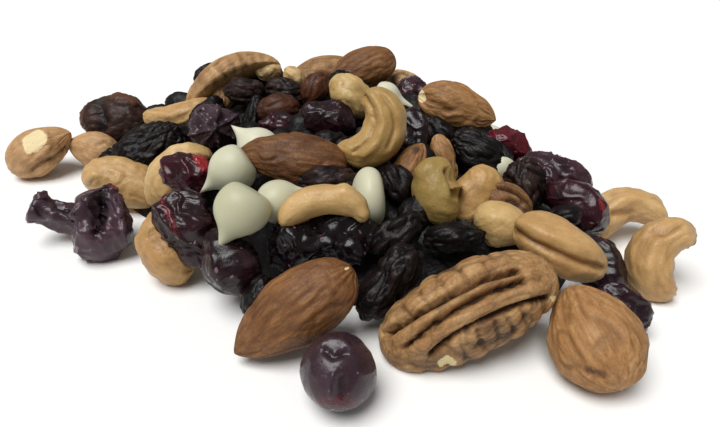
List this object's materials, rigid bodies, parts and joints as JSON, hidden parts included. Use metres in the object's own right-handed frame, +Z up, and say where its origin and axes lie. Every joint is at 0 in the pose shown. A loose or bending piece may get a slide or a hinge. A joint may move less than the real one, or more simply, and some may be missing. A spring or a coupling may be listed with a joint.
{
  "type": "heap of trail mix with no bowl",
  "caption": "Loose heap of trail mix on a bare surface: almonds, cashews, pecan halves, raisins, dried cranberries and white chips, with a flat underside",
  "frame": {"origin": "under the middle of the heap, on the surface that it lies on", "axes": "+Z up, +X along the heap's length to the right as the picture shows it, +Y away from the viewer"},
  "size_m": [0.1731, 0.1389, 0.0344],
  "materials": {
    "trail_mix": null,
    "almond_skin": "dry brown almond skin with fine lengthwise streaks",
    "cashew": "smooth roasted kernel, semi-matt",
    "pecan": "dry furrowed pecan skin, matt",
    "raisin": "dark wrinkled skin with a soft shine",
    "cranberry": "dark red wrinkled skin, sticky shine",
    "white_chip": "smooth creamy white confection, satin"
  },
  "bodies": {
    "root": {"trail_mix_heap": "trail_mix"}
  },
  "joints": []
}
